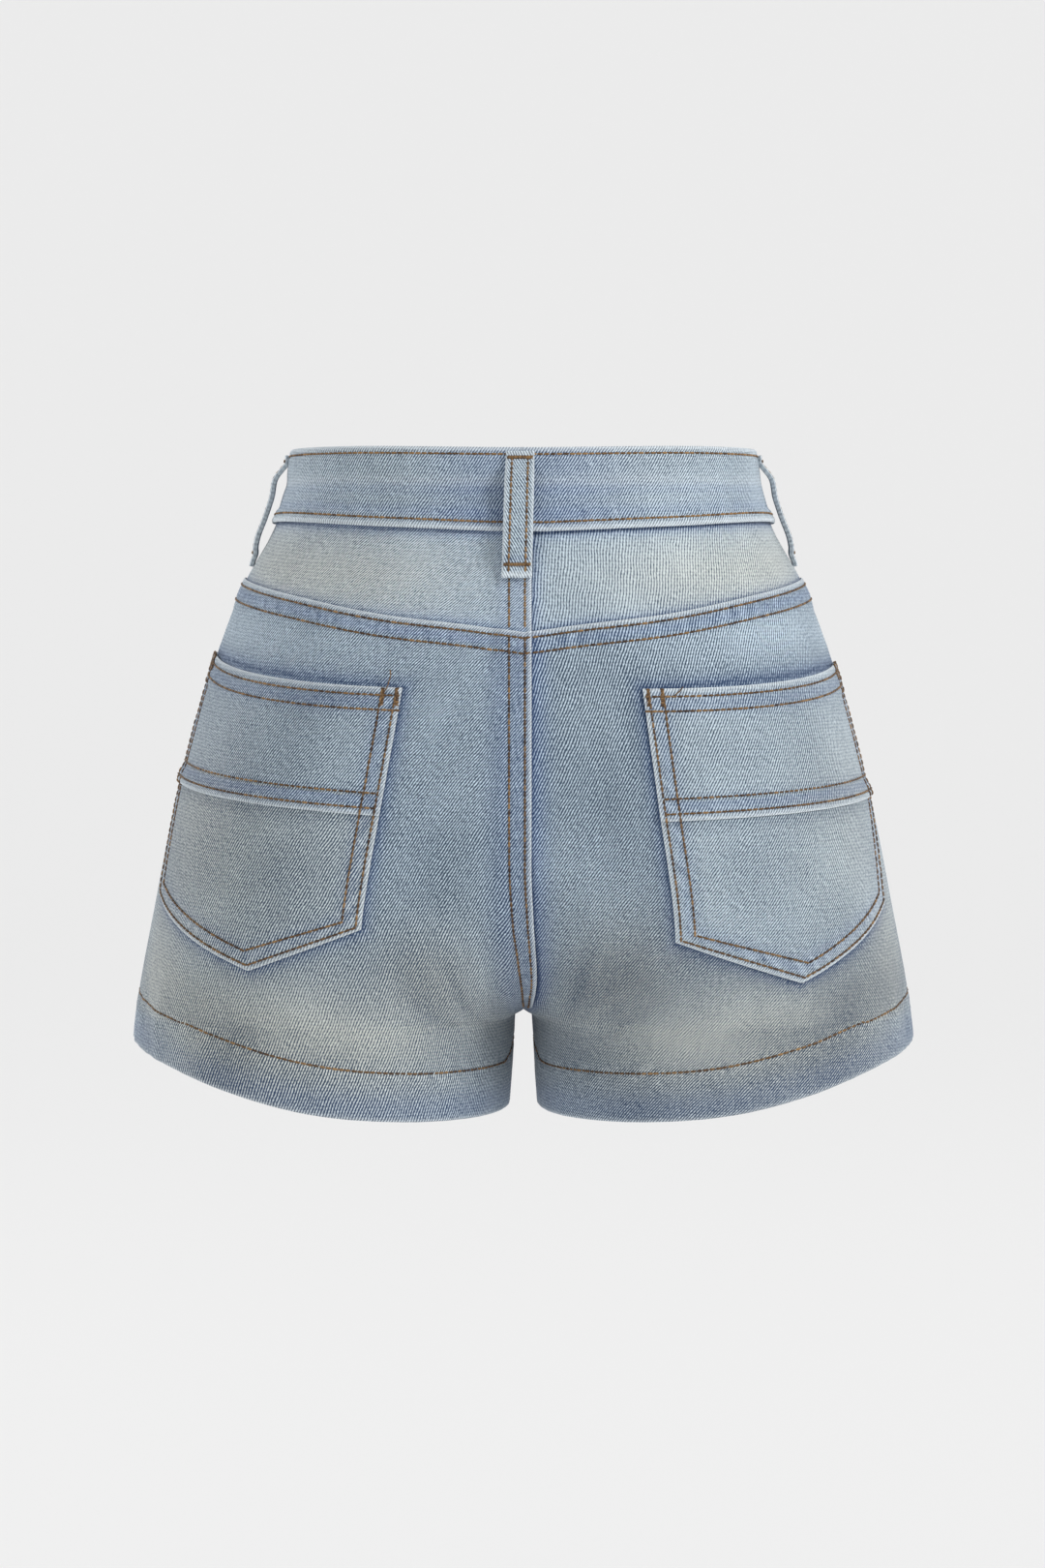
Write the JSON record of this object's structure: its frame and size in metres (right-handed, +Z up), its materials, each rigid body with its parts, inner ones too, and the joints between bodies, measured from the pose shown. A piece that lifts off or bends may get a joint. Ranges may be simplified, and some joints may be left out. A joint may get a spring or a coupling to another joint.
{
  "type": "denim shorts",
  "caption": "High-waisted denim shorts in worn shape, open at waist and legs, with back yoke, patch back pockets, belt loops and a front fly.",
  "frame": {"origin": "middle of the waist opening, level with the waistband's top edge at the back", "axes": "+Z up towards the waist, +X towards the wearer's left, +Y towards the wearer's back; the wearer faces -Y"},
  "size_m": [0.403, 0.22, 0.3419],
  "materials": {
    "denim": "washed twill, mid blue-grey",
    "denim_faded": "washed twill, pale where worn",
    "zip_tape": "woven tape",
    "zip_metal": "satin",
    "button_metal": "worn antique"
  },
  "bodies": {
    "root": {"waistband": "denim_faded", "yoke_left": "denim_faded", "back_left": "denim", "front_left": "denim", "pocket_left_upper": "denim_faded", "pocket_left_lower": "denim_faded", "yoke_right": "denim_faded", "back_right": "denim", "front_right": "denim", "pocket_right_upper": "denim_faded", "pocket_right_lower": "denim_faded", "loop_back": "denim", "loop_left": "denim", "loop_right": "denim", "loop_front_left": "denim", "loop_front_right": "denim", "fly_shield": "denim", "zip_tape": "zip_tape", "zip_chain": "zip_metal", "zip_slider": "zip_metal", "waist_button": "button_metal"}
  },
  "joints": []
}
